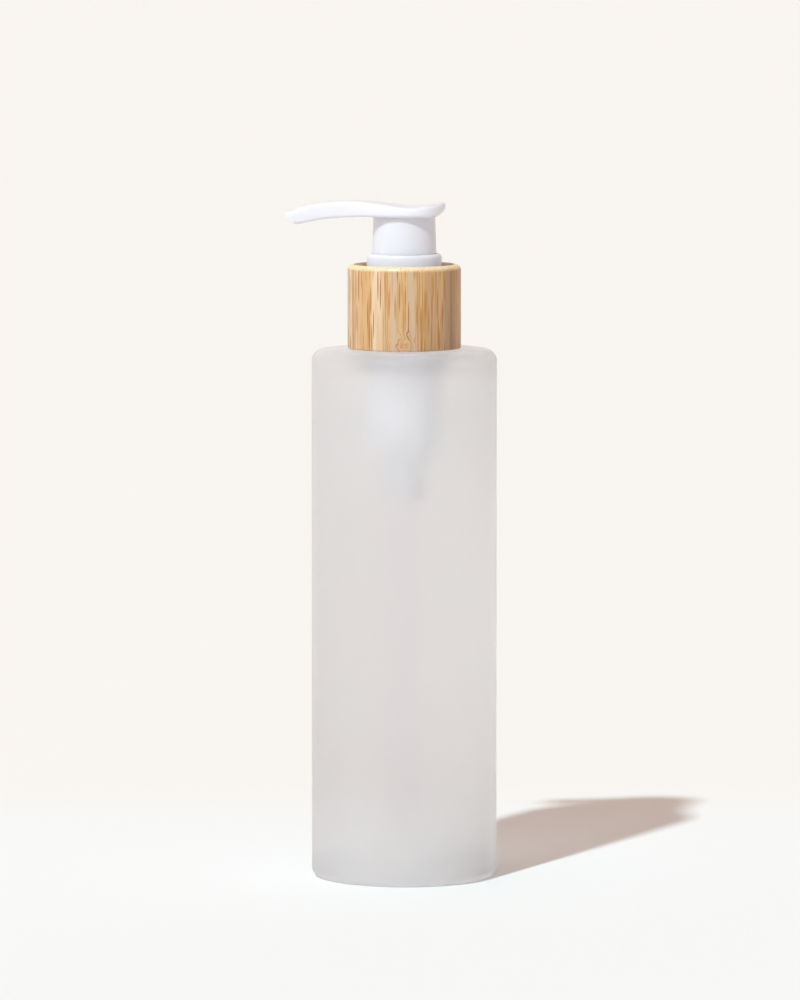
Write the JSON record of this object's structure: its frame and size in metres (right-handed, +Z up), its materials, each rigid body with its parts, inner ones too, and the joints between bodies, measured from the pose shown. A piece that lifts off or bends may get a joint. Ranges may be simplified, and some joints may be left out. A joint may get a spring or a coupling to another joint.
{
  "type": "pump bottle",
  "caption": "Cylindrical frosted glass oil bottle with a bamboo-clad screw closure and a white lock-down pump with a long saddle-shaped spout.",
  "frame": {"origin": "on the bottle's axis, at the plane of the foot ring that it stands on", "axes": "+Z up along the bottle's axis; the spout points along -X with the head at rest; +Y is away from the front"},
  "size_m": [0.0529, 0.046, 0.1681],
  "materials": {
    "frosted_glass": "acid-etched, satin",
    "bamboo": "turned and lacquered, satin",
    "white_pp": "moulded, semi-gloss",
    "natural_pp": "moulded, milky",
    "gasket_pe": "soft, matt",
    "tube_pe": "extruded, milky",
    "steel": "stainless, bright drawn"
  },
  "bodies": {
    "bottle": {"bottle": "frosted_glass"},
    "pump": {"pump_housing": "natural_pp", "neck_gasket": "gasket_pe", "lock_ring": "white_pp", "ball_retainer": "natural_pp", "dip_tube": "tube_pe", "return_spring": "steel"},
    "closure": {"screw_cap": "white_pp", "bamboo_collar": "bamboo"},
    "plunger": {"valve_rod": "natural_pp"},
    "head": {"pump_head": "white_pp", "stem": "white_pp"},
    "piston": {"piston": "gasket_pe"},
    "inlet_valve": {"inlet_ball": "steel"}
  },
  "joints": [
    {"name": "pump_lift", "type": "slide", "parent": "bottle", "child": "pump", "axis": [0, 0, 1], "range_m": [0, 0.00476]},
    {"name": "cap_unscrew", "type": "hinge", "parent": "pump", "child": "closure", "pos_m": [0, 0, 0.15], "axis": [0, 0, 1], "range_deg": [0, 540]},
    {"name": "pump_stroke", "type": "slide", "parent": "pump", "child": "plunger", "axis": [0, 0, 1], "range_m": [0, 0.011], "stiffness_N_per_m": 500, "springref_m": 0.016, "deforming": ["return_spring"]},
    {"name": "head_swivel", "type": "hinge", "parent": "plunger", "child": "head", "pos_m": [0, 0, 0.155], "axis": [0, 0, 1], "continuous": true},
    {"name": "piston_float", "type": "slide", "parent": "plunger", "child": "piston", "axis": [0, 0, 1], "range_m": [0, 0.0012]},
    {"name": "ball_lift", "type": "slide", "parent": "pump", "child": "inlet_valve", "axis": [0, 0, 1], "range_m": [0, 0.0012]}
  ],
  "couplings": [
    {"joint": "pump_lift", "follows": "cap_unscrew", "m_per_rad": 0.00050532}
  ]
}
